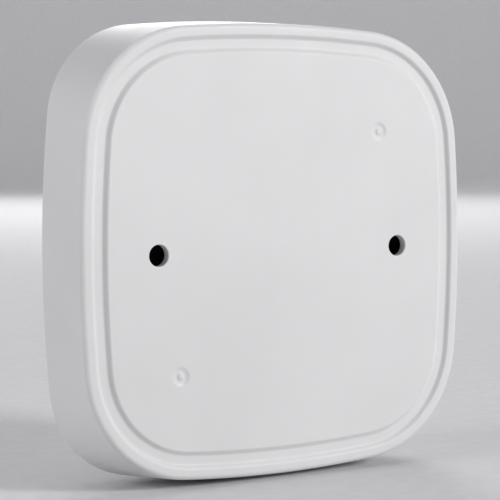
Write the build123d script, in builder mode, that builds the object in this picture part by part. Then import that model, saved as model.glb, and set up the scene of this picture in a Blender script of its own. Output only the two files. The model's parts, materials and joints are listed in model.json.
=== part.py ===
from build123d import *
from math import atan2, cos, radians, sin, sqrt
import os

# A compact mains-free smoke detector: a shallow wall base and a detector head that twists onto it.
# The frame: the mounting face is the plane Y = 0 and faces -Y, its centre is the origin, +Z is up
# and +X is to the right when the mounting face is looked at. Depths are distances along +Y.

# ---------------------------------------------------------------- driving dimensions (mm)
# An outline is (half width, radius of a bulged side, radius of a corner).
RIM_OUTLINE = (47.5, 288.0, 25.2)  # the base at its mounting face
EDGE_OUTLINE = (48.8, 291.0, 20.4)  # the base at the far edge of its wall
BASE_DEPTH = 15.4
WALL = 2.0
RIM_ROUND = 1.0

CHANNEL_DEPTH = 0.75  # the shallow channel round the mounting face
CHANNEL_TOP_OUT = 2.1  # how far in from the rim each line of the channel runs
CHANNEL_FLOOR_OUT = 3.3
CHANNEL_FLOOR_IN = 4.75
CHANNEL_TOP_IN = 6.1
CHANNEL_ROUND = 1.0

SCREW_SPACING = 60.0
SCREW_HOLE = 4.5
GATE_AT = 25.0  # gate marks lie on one diagonal
GATE_DISH = 4.4
GATE_PIP = 1.7
GATE_SINK = 0.25
NOTCH_WIDTH = 46.0
NOTCH_DEPTH = 2.0

TWIST = 12.0  # degrees from locked to free
HOOKS = 3
HOOK_START = 30.0
HOOK_INNER = 38.2
HOOK_WALL_INNER = 41.0
HOOK_OUTER = 43.0
HOOK_LIP_LOW = 8.7
HOOK_TOP = 10.4
HOOK_LENGTH = 10.5
HOOK_LEAD = 2.0  # degrees that a hook's middle is ahead of its lug's
STOP_LEAD = 7.0
STOP_THICK = 1.6
LUG_OUTER = 40.7
LUG_LENGTH = 7.0
LUG_TOP = 8.4

CHASSIS_LOW = 6.6
CHASSIS_FLOOR = 1.6
CUP_OUTER = 37.5
CUP_WALL = 1.5
FLANGE_LOW = 15.9
FLANGE_TOP = 17.4
GUSSETS = 12
GUSSET_START = 15.0
GUSSET_LOW = 11.6
GUSSET_REACH = 4.0
GUSSET_SUNK = 0.4  # how far each gusset runs into the cup's wall
GUSSET_THICK = 1.2
FLANGE_OUTLINE = (44.6, 286.6, 16.6)

COVER_LOW = FLANGE_LOW
COVER_TOP = 35.4
COVER_OUTLINE = (48.0, 290.0, 20.0)
FACE_OUTLINE = (38.0, 230.0, 16.0)
COVER_ROUND = 7.0
COVER_SCREW_AT = 31.5
COVER_SCREW_HOLE = 1.5
BOSS_RADIUS = 3.0
BOSS_PILOT = 1.1
BOSS_PILOT_DEPTH = 8.0
INLETS = 9  # smoke inlet slots in each flank
INLET_PITCH = 6.0
INLET_LENGTH = 7.2
INLET_WIDTH = 2.2
INLET_MIDDLE = 23.6
GRILLE_ROWS = 5
GRILLE_PITCH = 3.4
GRILLE_SLOT = 1.6
GRILLE_RADIUS = 9.5
COLLAR_THICK = 0.8
SCREEN_COLLAR = 2.8  # how far each collar hangs below the face
HORN_COLLAR = 2.4
BUTTON_COLLAR = 4.4

BOARD_LOW = FLANGE_TOP
BOARD_THICK = 1.6
BOARD_TOP = BOARD_LOW + BOARD_THICK
BOARD_RADIUS = 35.2
BOARD_SCREW_HOLE = 1.3
BOARD_NOTCH = (37.0, 30.0)  # the cell lies in it
BOARD_NOTCH_Z = -26.0
POST_RADIUS = 2.6
POST_PILOT = 1.0
POST_PILOT_DEPTH = 8.0
BOARD_POSTS = [(27.5, 14.0), (-27.5, 14.0), (27.5, -10.0), (-27.5, -10.0)]

CHAMBER_Z = 12.0
CHAMBER_RADIUS = 20.4
CHAMBER_FLOOR = 1.4
CHAMBER_TOP = 32.6
VANES = 24
SCREEN_INNER = 21.2
SCREEN_OUTER = 21.6
SCREEN_TOP = 33.2
SENSOR_RADIUS = 1.5
SENSOR_Y = 23.6
EMITTER_ANGLE = 210.0
RECEIVER_ANGLE = 345.0

CELL_RADIUS = 8.5
CELL_LENGTH = 34.5
CELL_NUB = 1.0
CELL_X = -3.0
CELL_Y = 17.2
CELL_Z = -20.5
SLEEVE = 0.2
CRADLE_SPACING = 22.0
CRADLE_THICK = 1.6
CRADLE_HEIGHT = 5.8
FIT = 0.1  # room round a piece that sits in another piece of the head

SOUNDER_AT = (-14.5, -21.5)
HORN_LOW = 26.2
DISC_LOW = 27.5
HORN_RADIUS = 13.5
HORN_NECK = 11.5
HORN_SHOULDER = 30.0
DISC_RADIUS = 12.5
DISC_THICK = 0.2

BUTTON_AT = (20.5, -19.5)
BUTTON_RADIUS = 8.5
BUTTON_TRAVEL = 0.8
BUTTON_PROUD = 0.5
BUTTON_WALL = 1.2
BUTTON_LIP = 1.0
BUTTON_LIP_THICK = 1.3
GAP = 0.3  # running clearance between bodies that move past each other
TACT_SIZE = 6.0
TACT_TOP = BOARD_TOP + 3.4
TACT_WELL = 2.4
PLUNGER_TOP = 23.6
PLUNGER_RADIUS = 1.7
STEM_RADIUS = 1.7
SPRING_RADIUS = 2.45
SPRING_WIRE = 0.25
SPRING_TURNS = 6

LAMP_AT = (21.0, -3.0)
PIPE_RADIUS = 1.5
PIPE_PROUD = 0.15
PIPE_FIT = 0.05

SHUTTLE_Z = 20.0  # radius of the peg that the base holds as the head turns
SHUTTLE_TRAVEL = SHUTTLE_Z * radians(TWIST)
PEG_RADIUS = 1.5
PEG_LOW = 3.0
PEG_ROOM = 0.4  # round the peg in the chassis slot
FORK_TOP = 5.6
FORK_THICK = 1.6
FORK_LENGTH = 6.0

RIB_FRAME = (40.0, 26.0)  # the stiffening frame on the base's floor
RIB_THICK = 1.2
RIB_HEIGHT = 1.2

os.makedirs("parts", exist_ok=True)


# ---------------------------------------------------------------- helpers
def facing(depth):
    """The sketch plane at a depth from the mounting face, with X across and Z up."""
    return Plane.XZ.offset(-depth)


def deepen(thickness, mode=Mode.ADD):
    """Extrude the pending sketch away from the mounting face."""
    return extrude(amount=-thickness, mode=mode)


def inset(outline, by):
    """The outline a constant distance inside another one."""
    return tuple(size - by for size in outline)


def squircle(outline):
    """Draw a square with bulged sides and round corners as eight tangent arcs."""
    half, side_radius, corner_radius = outline
    side_centre = half - side_radius
    reach = side_radius - corner_radius
    corner = (side_centre + sqrt(2 * reach**2 - side_centre**2)) / 2
    turn = atan2(corner, corner - side_centre)
    across = side_centre + side_radius * cos(turn)
    along = side_radius * sin(turn)
    tip = corner + corner_radius * sqrt(0.5)
    side = [(across, -along), (half, 0), (across, along)]
    round_corner = [(across, along), (tip, tip), (along, across)]
    with BuildLine() as line:
        for quarter in range(4):
            for arc in (side, round_corner):
                ThreePointArc(*[Vector(*point).rotate(Axis.Z, 90 * quarter) for point in arc])
    make_face(line.edges())


def squircle_loft(low, low_outline, high, high_outline, mode=Mode.ADD):
    """A straight-walled body between two outlines at two depths."""
    with BuildSketch(facing(low)) as near:
        squircle(low_outline)
    with BuildSketch(facing(high)) as far:
        squircle(high_outline)
    loft([near.sketch, far.sketch], ruled=True, mode=mode)


def disc(radius, low, high, centre=(0, 0), mode=Mode.ADD):
    """A round body between two depths."""
    with BuildSketch(facing(low)) as profile:
        with Locations(centre):
            Circle(radius)
    extrude(profile.sketch, amount=low - high, mode=mode)


def block(width, height, low, high, centre=(0, 0), mode=Mode.ADD):
    """A rectangular body between two depths."""
    with BuildSketch(facing(low)) as profile:
        with Locations(centre):
            Rectangle(width, height)
    extrude(profile.sketch, amount=low - high, mode=mode)


def finish(piece, name):
    """Name a finished piece and write it."""
    piece.part.label = name
    export_step(piece.part, f"parts/{name}.step")


# ---------------------------------------------------------------- the wall base
with BuildPart() as rear_base:
    squircle_loft(0, RIM_OUTLINE, BASE_DEPTH, EDGE_OUTLINE)
    fillet(rear_base.faces().sort_by(Axis.Y)[0].edges(), RIM_ROUND)
    # the channel: a recess as wide as the channel's outer line, with the middle panel put back
    squircle_loft(
        0,
        inset(RIM_OUTLINE, CHANNEL_TOP_OUT),
        CHANNEL_DEPTH,
        inset(RIM_OUTLINE, CHANNEL_FLOOR_OUT),
        Mode.SUBTRACT,
    )
    squircle_loft(
        0,
        inset(RIM_OUTLINE, CHANNEL_TOP_IN),
        CHANNEL_DEPTH,
        inset(RIM_OUTLINE, CHANNEL_FLOOR_IN),
    )
    floor_lines = rear_base.edges().filter_by_position(
        Axis.Y, CHANNEL_DEPTH - 0.01, CHANNEL_DEPTH + 0.01
    )
    fillet(floor_lines, CHANNEL_ROUND)
    # the hollow of the tray
    squircle_loft(
        WALL,
        inset(RIM_OUTLINE, WALL),
        BASE_DEPTH,
        inset(EDGE_OUTLINE, WALL),
        Mode.SUBTRACT,
    )
    # screw holes and gate marks in the panel
    with BuildSketch(facing(0)):
        with GridLocations(SCREW_SPACING, 0, 2, 1):
            Circle(SCREW_HOLE / 2)
    deepen(WALL, Mode.SUBTRACT)
    for side in (1, -1):
        gate = (side * GATE_AT, side * GATE_AT)
        disc(GATE_DISH / 2, 0, GATE_SINK, gate, Mode.SUBTRACT)
        disc(GATE_PIP / 2, 0, GATE_SINK, gate)
    # the release notch in the bottom of the wall's far edge
    block(
        NOTCH_WIDTH,
        4 * WALL,
        BASE_DEPTH - NOTCH_DEPTH,
        BASE_DEPTH,
        (0, -EDGE_OUTLINE[0]),
        Mode.SUBTRACT,
    )
    # bayonet hooks: a wall, a lip over the lug and a stop at the locked end
    with BuildSketch(facing(WALL)):
        with PolarLocations((HOOK_WALL_INNER + HOOK_OUTER) / 2, HOOKS, HOOK_START + HOOK_LEAD):
            Rectangle(HOOK_OUTER - HOOK_WALL_INNER, HOOK_LENGTH)
        with PolarLocations((HOOK_INNER + HOOK_OUTER) / 2, HOOKS, HOOK_START + STOP_LEAD):
            Rectangle(HOOK_OUTER - HOOK_INNER, STOP_THICK)
    deepen(HOOK_TOP - WALL)
    with BuildSketch(facing(HOOK_LIP_LOW)):
        with PolarLocations((HOOK_INNER + HOOK_OUTER) / 2, HOOKS, HOOK_START + HOOK_LEAD):
            Rectangle(HOOK_OUTER - HOOK_INNER, HOOK_LENGTH)
    deepen(HOOK_TOP - HOOK_LIP_LOW)
    # the fork that holds the power switch's peg still while the head turns
    with BuildSketch(facing(WALL)):
        with Locations((0, SHUTTLE_Z)):
            with GridLocations(2 * (PEG_RADIUS + GAP) + FORK_THICK, 0, 2, 1):
                Rectangle(FORK_THICK, FORK_LENGTH)
    deepen(FORK_TOP - WALL)
    # a stiffening frame on the middle of the floor
    with BuildSketch(facing(WALL)):
        Rectangle(*RIB_FRAME)
        Rectangle(RIB_FRAME[0] - 2 * RIB_THICK, RIB_FRAME[1] - 2 * RIB_THICK, mode=Mode.SUBTRACT)
    deepen(RIB_HEIGHT)
finish(rear_base, "rear_base")

# ---------------------------------------------------------------- the head's chassis
with BuildPart() as chassis:
    disc(CUP_OUTER, CHASSIS_LOW, FLANGE_TOP)
    with BuildSketch(facing(FLANGE_LOW)):
        squircle(FLANGE_OUTLINE)
    deepen(FLANGE_TOP - FLANGE_LOW)
    disc(CUP_OUTER - CUP_WALL, CHASSIS_LOW + CHASSIS_FLOOR, FLANGE_TOP, mode=Mode.SUBTRACT)
    # bayonet lugs round the cup
    with BuildSketch(facing(CHASSIS_LOW)):
        with PolarLocations((CUP_OUTER - CUP_WALL + LUG_OUTER) / 2, HOOKS, HOOK_START):
            Rectangle(LUG_OUTER - CUP_OUTER + CUP_WALL, LUG_LENGTH)
        Circle(CUP_OUTER - CUP_WALL / 2, mode=Mode.SUBTRACT)
    deepen(LUG_TOP - CHASSIS_LOW)
    # gussets between the cup and the flange
    with BuildSketch(facing(GUSSET_LOW)):
        with PolarLocations(CUP_OUTER + GUSSET_REACH / 2 - GUSSET_SUNK, GUSSETS, GUSSET_START):
            Rectangle(GUSSET_REACH, GUSSET_THICK)
    deepen(FLANGE_LOW - GUSSET_LOW)
    # posts for the circuit board, with screw pilots
    with BuildSketch(facing(CHASSIS_LOW + CHASSIS_FLOOR)):
        with Locations(*BOARD_POSTS):
            Circle(POST_RADIUS)
    deepen(BOARD_LOW - CHASSIS_LOW - CHASSIS_FLOOR)
    with BuildSketch(facing(BOARD_LOW - POST_PILOT_DEPTH)):
        with Locations(*BOARD_POSTS):
            Circle(POST_PILOT)
    deepen(POST_PILOT_DEPTH, Mode.SUBTRACT)
    # cradle ribs under the cell
    with BuildSketch(facing(CHASSIS_LOW + CHASSIS_FLOOR)):
        with Locations((CELL_X, CELL_Z)):
            with GridLocations(CRADLE_SPACING, 0, 2, 1):
                Rectangle(CRADLE_THICK, 2 * CELL_RADIUS)
    deepen(CRADLE_HEIGHT)
    with BuildSketch(Plane.YZ):
        with Locations((CELL_Y, CELL_Z)):
            Circle(CELL_RADIUS + FIT)
    extrude(amount=CRADLE_SPACING, both=True, mode=Mode.SUBTRACT)
    # the slot that the power switch's peg slides in
    with BuildSketch(facing(CHASSIS_LOW)):
        with Locations((-SHUTTLE_TRAVEL / 2, SHUTTLE_Z)):
            Rectangle(SHUTTLE_TRAVEL + 2 * (PEG_RADIUS + PEG_ROOM), 2 * (PEG_RADIUS + PEG_ROOM))
    deepen(CHASSIS_FLOOR, Mode.SUBTRACT)
    # clearance holes for the cover screws
    with BuildSketch(facing(FLANGE_LOW)):
        with GridLocations(2 * COVER_SCREW_AT, 2 * COVER_SCREW_AT, 2, 2):
            Circle(COVER_SCREW_HOLE)
    deepen(FLANGE_TOP - FLANGE_LOW, Mode.SUBTRACT)
finish(chassis, "chassis")

# ---------------------------------------------------------------- the front cover
with BuildPart() as dome:
    squircle_loft(COVER_LOW, COVER_OUTLINE, COVER_TOP, FACE_OUTLINE)
    fillet(dome.faces().sort_by(Axis.Y)[-1].edges(), COVER_ROUND)

with BuildPart() as dome_hollow:
    squircle_loft(
        COVER_LOW,
        inset(COVER_OUTLINE, WALL),
        COVER_TOP - WALL,
        inset(FACE_OUTLINE, WALL),
    )
    fillet(dome_hollow.faces().sort_by(Axis.Y)[-1].edges(), COVER_ROUND - WALL)

with BuildPart() as front_cover:
    add(dome.part)
    add(dome_hollow.part, mode=Mode.SUBTRACT)
    # smoke inlets: rows of upright slots through all four flanks
    across_flanks = Plane((0, 0, 0), x_dir=(0, 1, 0), z_dir=(1, 0, 0))
    up_flanks = Plane((0, 0, 0), x_dir=(0, 1, 0), z_dir=(0, 0, 1))
    for plane in (across_flanks, up_flanks):
        with BuildSketch(plane):
            with Locations((INLET_MIDDLE, 0)):
                with GridLocations(0, INLET_PITCH, 1, INLETS):
                    SlotOverall(INLET_LENGTH, INLET_WIDTH)
        extrude(amount=COVER_OUTLINE[0], both=True, mode=Mode.SUBTRACT)
    # screw bosses, and collars that locate the screen, the horn and the button
    with BuildSketch(facing(FLANGE_TOP)):
        with GridLocations(2 * COVER_SCREW_AT, 2 * COVER_SCREW_AT, 2, 2):
            Circle(BOSS_RADIUS)
    deepen(COVER_TOP - WALL / 2 - FLANGE_TOP)
    for centre, inner, height in (
        ((0, CHAMBER_Z), SCREEN_OUTER + 2 * FIT, SCREEN_COLLAR),
        (SOUNDER_AT, HORN_NECK + 2 * FIT, HORN_COLLAR),
        (BUTTON_AT, BUTTON_RADIUS + BUTTON_LIP + GAP, BUTTON_COLLAR),
    ):
        with BuildSketch(facing(COVER_TOP - WALL - height)):
            with Locations(centre):
                Circle(inner + COLLAR_THICK)
                Circle(inner, mode=Mode.SUBTRACT)
        deepen(height + WALL / 2)
    add(dome.part, mode=Mode.INTERSECT)
    with BuildSketch(facing(FLANGE_TOP)):
        with GridLocations(2 * COVER_SCREW_AT, 2 * COVER_SCREW_AT, 2, 2):
            Circle(BOSS_PILOT)
    deepen(BOSS_PILOT_DEPTH, Mode.SUBTRACT)
    # the front face: button opening, lamp hole and the sounder's grille
    disc(BUTTON_RADIUS + GAP, COVER_TOP - WALL, COVER_TOP, BUTTON_AT, Mode.SUBTRACT)
    disc(PIPE_RADIUS + PIPE_FIT, COVER_TOP - WALL, COVER_TOP, LAMP_AT, Mode.SUBTRACT)
    with BuildSketch(facing(COVER_TOP - WALL)):
        for row in range(GRILLE_ROWS):
            height = GRILLE_PITCH * (row - (GRILLE_ROWS - 1) / 2)
            with Locations((SOUNDER_AT[0], SOUNDER_AT[1] + height)):
                SlotOverall(2 * sqrt(GRILLE_RADIUS**2 - height**2), GRILLE_SLOT)
    deepen(WALL, Mode.SUBTRACT)
finish(front_cover, "front_cover")

# ---------------------------------------------------------------- the circuit board and what is on it
CONTROLLER_AT = (4.0, 3.0)
CONTROLLER_SIZE = 7.0
CONTROLLER_THICK = 1.0
CONTROLLER_LEADS = 8  # on each side
CONTROLLER_LEAD = (1.0, 0.35)
CONTROLLER_PITCH = 0.8
DRIVER_AT = (-6.0, -5.0)
DRIVER_SIZE = (5.0, 4.0)
DRIVER_THICK = 1.4
DRIVER_STAND = 0.1
DRIVER_LEADS = 4
DRIVER_LEAD = (0.45, 1.4)
DRIVER_PITCH = 1.27
INDUCTOR_AT = (-15.0, 5.0)
INDUCTOR_FLANGE = 4.0
INDUCTOR_WAIST = 3.0
INDUCTOR_LEVELS = (10.4, 11.6, 16.2)
CAPACITOR_AT = (15.0, 4.0)
CAPACITOR_RADIUS = 3.15
CAPACITOR_LENGTH = 7.5
CAPACITOR_VENT = (5.0, 0.3, 0.2)  # length, width and depth of its scored cross
CHIP_SIZE = (0.8, 1.6)
CHIP_THICK = 0.6
CHIP_PITCH = (3.2, 2.4)
LED_BASE = (3.2, 1.6, 0.5)
LED_WINDOW = (2.0, 1.4, 0.6)
LED_TO_PIPE = 0.2

with BuildPart() as circuit_board:
    disc(BOARD_RADIUS, BOARD_LOW, BOARD_TOP)
    block(*BOARD_NOTCH, BOARD_LOW, BOARD_TOP, (CELL_X, BOARD_NOTCH_Z), Mode.SUBTRACT)
    with BuildSketch(facing(BOARD_LOW)):
        with Locations(*BOARD_POSTS):
            Circle(BOARD_SCREW_HOLE)
    deepen(BOARD_THICK, Mode.SUBTRACT)
finish(circuit_board, "circuit_board")

with BuildPart() as microcontroller:
    chip_low = BOARD_LOW - CONTROLLER_THICK
    block(CONTROLLER_SIZE, CONTROLLER_SIZE, chip_low, BOARD_LOW, CONTROLLER_AT)
    chamfer(microcontroller.faces().sort_by(Axis.Y)[0].edges(), 0.15)
    with BuildSketch(facing(BOARD_LOW - 0.2)):
        with Locations(CONTROLLER_AT):
            across = CONTROLLER_SIZE + CONTROLLER_LEAD[0]
            with GridLocations(across, CONTROLLER_PITCH, 2, CONTROLLER_LEADS):
                Rectangle(*CONTROLLER_LEAD)
            with GridLocations(CONTROLLER_PITCH, across, CONTROLLER_LEADS, 2):
                Rectangle(*reversed(CONTROLLER_LEAD))
    deepen(0.2)
finish(microcontroller, "microcontroller")

with BuildPart() as driver_chip:
    chip_top = BOARD_LOW - DRIVER_STAND
    block(*DRIVER_SIZE, chip_top - DRIVER_THICK, chip_top, DRIVER_AT)
    chamfer(driver_chip.faces().sort_by(Axis.Y)[0].edges(), 0.25)
    with BuildSketch(facing(BOARD_LOW - 0.3)):
        with Locations(DRIVER_AT):
            with GridLocations(DRIVER_PITCH, DRIVER_SIZE[1] + 1, DRIVER_LEADS, 2):
                Rectangle(*DRIVER_LEAD)
    deepen(0.3)
finish(driver_chip, "driver_chip")

with BuildPart() as boost_inductor:
    # a bobbin core: two flanges and a waist
    foot, waist, shoulder = INDUCTOR_LEVELS
    disc(INDUCTOR_FLANGE, foot, waist, INDUCTOR_AT)
    disc(INDUCTOR_WAIST, waist, shoulder, INDUCTOR_AT)
    disc(INDUCTOR_FLANGE, shoulder, BOARD_LOW, INDUCTOR_AT)
finish(boost_inductor, "boost_inductor")

with BuildPart() as storage_capacitor:
    can_low = BOARD_LOW - CAPACITOR_LENGTH
    disc(CAPACITOR_RADIUS, can_low, BOARD_LOW, CAPACITOR_AT)
    fillet(storage_capacitor.faces().sort_by(Axis.Y)[0].edges(), 0.5)
    length, width, depth = CAPACITOR_VENT
    with BuildSketch(facing(can_low)):
        with Locations(CAPACITOR_AT):
            Rectangle(length, width)
            Rectangle(width, length)
    deepen(depth, Mode.SUBTRACT)
finish(storage_capacitor, "storage_capacitor")

with BuildPart() as chip_parts:
    # one row of small parts below the chips, and two rows above them
    with BuildSketch(facing(BOARD_LOW - CHIP_THICK)):
        with Locations((0, -8.6)):
            with GridLocations(CHIP_PITCH[0], 0, 8, 1):
                Rectangle(*reversed(CHIP_SIZE))
        with Locations((0, 12)):
            with GridLocations(*CHIP_PITCH, 9, 2):
                Rectangle(*CHIP_SIZE)
    deepen(CHIP_THICK)
finish(chip_parts, "chip_parts")

with BuildPart() as status_led:
    width, height, thick = LED_BASE
    led_middle = BOARD_TOP + thick
    block(width, height, BOARD_TOP, led_middle, LAMP_AT)
    width, height, thick = LED_WINDOW
    led_top = led_middle + thick
    block(width, height, led_middle, led_top, LAMP_AT)
finish(status_led, "status_led")

with BuildPart() as light_pipe:
    disc(PIPE_RADIUS, led_top + LED_TO_PIPE, COVER_TOP + PIPE_PROUD, LAMP_AT)
    fillet(light_pipe.faces().sort_by(Axis.Y)[-1].edges(), 0.3)
    disc(PIPE_RADIUS + 0.8, COVER_TOP - WALL - 1.2, COVER_TOP - WALL, LAMP_AT)
finish(light_pipe, "light_pipe")

# ---------------------------------------------------------------- the screws
SCREW_GRIP = 0.05  # how much smaller a thread's core is than its pilot
BOARD_SCREW_LENGTH = 7.0
BOARD_SCREW_HEAD = (2.2, 1.5, 0.6)  # radius, height and edge round
BOARD_SCREW_CROSS = (2.4, 0.5, 0.8)  # length, width and depth
COVER_SCREW_LENGTH = 8.0
COVER_SCREW_HEAD = (2.5, 1.7, 0.7)
COVER_SCREW_CROSS = (2.8, 0.6, 0.9)

with BuildPart() as board_screws:
    with BuildSketch(facing(BOARD_LOW - BOARD_SCREW_LENGTH)):
        with Locations(*BOARD_POSTS):
            Circle(POST_PILOT - SCREW_GRIP)
    deepen(BOARD_SCREW_LENGTH + BOARD_THICK)
    radius, height, round_edge = BOARD_SCREW_HEAD
    with BuildSketch(facing(BOARD_TOP)):
        with Locations(*BOARD_POSTS):
            Circle(radius)
    deepen(height)
    fillet(board_screws.faces().filter_by(Axis.Y).group_by(Axis.Y)[-1].edges(), round_edge)
    length, width, depth = BOARD_SCREW_CROSS
    with BuildSketch(facing(BOARD_TOP + height - depth)):
        with Locations(*BOARD_POSTS):
            Rectangle(length, width)
            Rectangle(width, length)
    deepen(depth, Mode.SUBTRACT)
finish(board_screws, "board_screws")

with BuildPart() as cover_screws:
    radius, height, round_edge = COVER_SCREW_HEAD
    with BuildSketch(facing(FLANGE_LOW - height)):
        with GridLocations(2 * COVER_SCREW_AT, 2 * COVER_SCREW_AT, 2, 2):
            Circle(radius)
    deepen(height)
    fillet(cover_screws.faces().filter_by(Axis.Y).group_by(Axis.Y)[0].edges(), round_edge)
    length, width, depth = COVER_SCREW_CROSS
    with BuildSketch(facing(FLANGE_LOW - height)):
        with GridLocations(2 * COVER_SCREW_AT, 2 * COVER_SCREW_AT, 2, 2):
            Rectangle(length, width)
            Rectangle(width, length)
    deepen(depth, Mode.SUBTRACT)
    with BuildSketch(facing(FLANGE_LOW)):
        with GridLocations(2 * COVER_SCREW_AT, 2 * COVER_SCREW_AT, 2, 2):
            Circle(BOSS_PILOT - SCREW_GRIP)
    deepen(COVER_SCREW_LENGTH)
finish(cover_screws, "cover_screws")

# ---------------------------------------------------------------- the optical chamber
HOLDER_LOW = BOARD_TOP + CHAMBER_FLOOR
HOLDER_TOP = SENSOR_Y + 2.6
HOLDER_AT = 10.6  # the middle of each sensor's holder, out from the chamber's centre
HOLDER_SIZE = (6.0, 5.0)
SENSOR_LOW = 9.4  # where a sensor's round body starts, out from the chamber's centre
SENSOR_LENGTH = 4.4
SENSOR_TIP_ROUND = 1.2
SENSOR_BORE = (7.0, 7.5)  # where the holder's bore starts, and its length
LEAD_AT = 13.9
LEAD_PITCH = 1.27
LEAD_THICK = 0.5
LEAD_SLOT_AT = 14.2
LEAD_SLOT = (1.2, 3.2)
VANE_AT = 17.5
VANE = (5.0, 0.9)
VANE_TURN = 50.0
SHIELD_OUTER = (5.6, 5.9)
SHIELD_INNER = (6.4, 5.1)
SHIELD_TOP = 0.5
WINDOWS = 36
WINDOW_WIDTH = 2.6
WINDOW_LOW = 1.4
WINDOW_HEIGHT = 9.6


def radial_plane(angle, radius, depth):
    """A plane in the chamber that faces outwards from its centre."""
    out = Vector(cos(radians(angle)), 0, sin(radians(angle)))
    return Plane(Vector(0, depth, CHAMBER_Z) + out * radius, x_dir=(0, 1, 0), z_dir=out)


def chamber_disc(radius, low, high):
    """A round body on the chamber's axis."""
    disc(radius, low, high, (0, CHAMBER_Z))


def chamber_block(size, at, angle, low, high, mode=Mode.ADD):
    """A block that stands in the chamber, its first side along the direction from the centre."""
    with BuildSketch(facing(low)) as profile:
        with Locations((0, CHAMBER_Z)):
            with PolarLocations(at, 1, angle):
                Rectangle(*size)
    extrude(profile.sketch, amount=low - high, mode=mode)


with BuildPart() as chamber_base:
    chamber_disc(CHAMBER_RADIUS, BOARD_TOP, HOLDER_LOW)
    for angle in (EMITTER_ANGLE, RECEIVER_ANGLE):
        chamber_block(HOLDER_SIZE, HOLDER_AT, angle, HOLDER_LOW, HOLDER_TOP)
        with BuildSketch(radial_plane(angle, SENSOR_BORE[0], SENSOR_Y)):
            Circle(SENSOR_RADIUS + 0.05)
        extrude(amount=SENSOR_BORE[1], mode=Mode.SUBTRACT)
        chamber_block(LEAD_SLOT, LEAD_SLOT_AT, angle, BOARD_TOP, HOLDER_LOW, Mode.SUBTRACT)
finish(chamber_base, "chamber_base")

with BuildPart() as chamber_labyrinth:
    chamber_disc(CHAMBER_RADIUS - 0.6, CHAMBER_TOP - CHAMBER_FLOOR, CHAMBER_TOP)
    # vanes all set at one slant let smoke in and keep light out
    with BuildSketch(facing(HOLDER_LOW)):
        with Locations((0, CHAMBER_Z)):
            with PolarLocations(VANE_AT, VANES):
                Rectangle(*VANE, rotation=VANE_TURN)
    deepen(CHAMBER_TOP - CHAMBER_FLOOR - HOLDER_LOW)
finish(chamber_labyrinth, "chamber_labyrinth")

for angle, name in ((EMITTER_ANGLE, "ir_led"), (RECEIVER_ANGLE, "photodiode")):
    with BuildPart() as sensor:
        with BuildSketch(radial_plane(angle, SENSOR_LOW, SENSOR_Y)):
            Circle(SENSOR_RADIUS)
        extrude(amount=SENSOR_LENGTH)
        outwards = Axis(Vector(0, 0, 0), radial_plane(angle, 0, 0).z_dir)
        fillet(sensor.faces().sort_by(outwards)[0].edges(), SENSOR_TIP_ROUND)
        with BuildSketch(facing(BOARD_TOP)):
            with Locations((0, CHAMBER_Z)):
                with PolarLocations(LEAD_AT, 1, angle):
                    with GridLocations(0, LEAD_PITCH, 1, 2):
                        Rectangle(LEAD_THICK, LEAD_THICK)
        deepen(SENSOR_Y + LEAD_THICK / 2 - BOARD_TOP)
    finish(sensor, name)

with BuildPart() as sensor_shield:
    # a folded can over the receiver's holder, open at its two ends
    shield_top = HOLDER_TOP + SHIELD_TOP
    hollow_top = HOLDER_TOP + FIT
    chamber_block(SHIELD_OUTER, HOLDER_AT, RECEIVER_ANGLE, HOLDER_LOW, shield_top)
    chamber_block(SHIELD_INNER, HOLDER_AT, RECEIVER_ANGLE, HOLDER_LOW, hollow_top, Mode.SUBTRACT)
finish(sensor_shield, "sensor_shield")

with BuildPart() as insect_screen:
    with BuildSketch(facing(BOARD_TOP)):
        with Locations((0, CHAMBER_Z)):
            Circle(SCREEN_OUTER)
            Circle(SCREEN_INNER, mode=Mode.SUBTRACT)
    deepen(SCREEN_TOP - BOARD_TOP)
    with BuildSketch(facing(BOARD_TOP + WINDOW_LOW)):
        with Locations((0, CHAMBER_Z)):
            with PolarLocations(SCREEN_INNER, WINDOWS):
                Rectangle(2, WINDOW_WIDTH)
    deepen(WINDOW_HEIGHT, Mode.SUBTRACT)
finish(insect_screen, "insect_screen")

# ---------------------------------------------------------------- the sounder
HORN_TOP = COVER_TOP - WALL - FIT
HORN_BORE = HORN_NECK - 1.1
THROAT_LOW = 31.4
THROAT_THICK = 1.0
THROAT_RADIUS = 3.5
CERAMIC_RADIUS = 9.5
SEAL_INNER = 11.4
SEAL_THICK = 0.8

with BuildPart() as sounder_horn:
    disc(HORN_RADIUS, HORN_LOW, HORN_SHOULDER, SOUNDER_AT)
    disc(HORN_NECK, HORN_SHOULDER, HORN_TOP, SOUNDER_AT)
    # the seat for the disc, the resonating chamber behind the throat, and the mouth in front of it
    disc(DISC_RADIUS + FIT, HORN_LOW, DISC_LOW + DISC_THICK, SOUNDER_AT, Mode.SUBTRACT)
    disc(HORN_BORE, DISC_LOW, THROAT_LOW, SOUNDER_AT, Mode.SUBTRACT)
    disc(THROAT_RADIUS, THROAT_LOW, HORN_TOP, SOUNDER_AT, Mode.SUBTRACT)
    disc(HORN_BORE, THROAT_LOW + THROAT_THICK, HORN_TOP, SOUNDER_AT, Mode.SUBTRACT)
finish(sounder_horn, "sounder_horn")

with BuildPart() as piezo_disc:
    disc(DISC_RADIUS, DISC_LOW, DISC_LOW + DISC_THICK, SOUNDER_AT)
finish(piezo_disc, "piezo_disc")

with BuildPart() as piezo_ceramic:
    disc(CERAMIC_RADIUS, DISC_LOW + DISC_THICK, DISC_LOW + 2 * DISC_THICK, SOUNDER_AT)
finish(piezo_ceramic, "piezo_ceramic")

with BuildPart() as disc_seal:
    disc(DISC_RADIUS + FIT / 2, DISC_LOW - SEAL_THICK, DISC_LOW, SOUNDER_AT)
    disc(SEAL_INNER, DISC_LOW - SEAL_THICK, DISC_LOW, SOUNDER_AT, Mode.SUBTRACT)
finish(disc_seal, "disc_seal")

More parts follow.
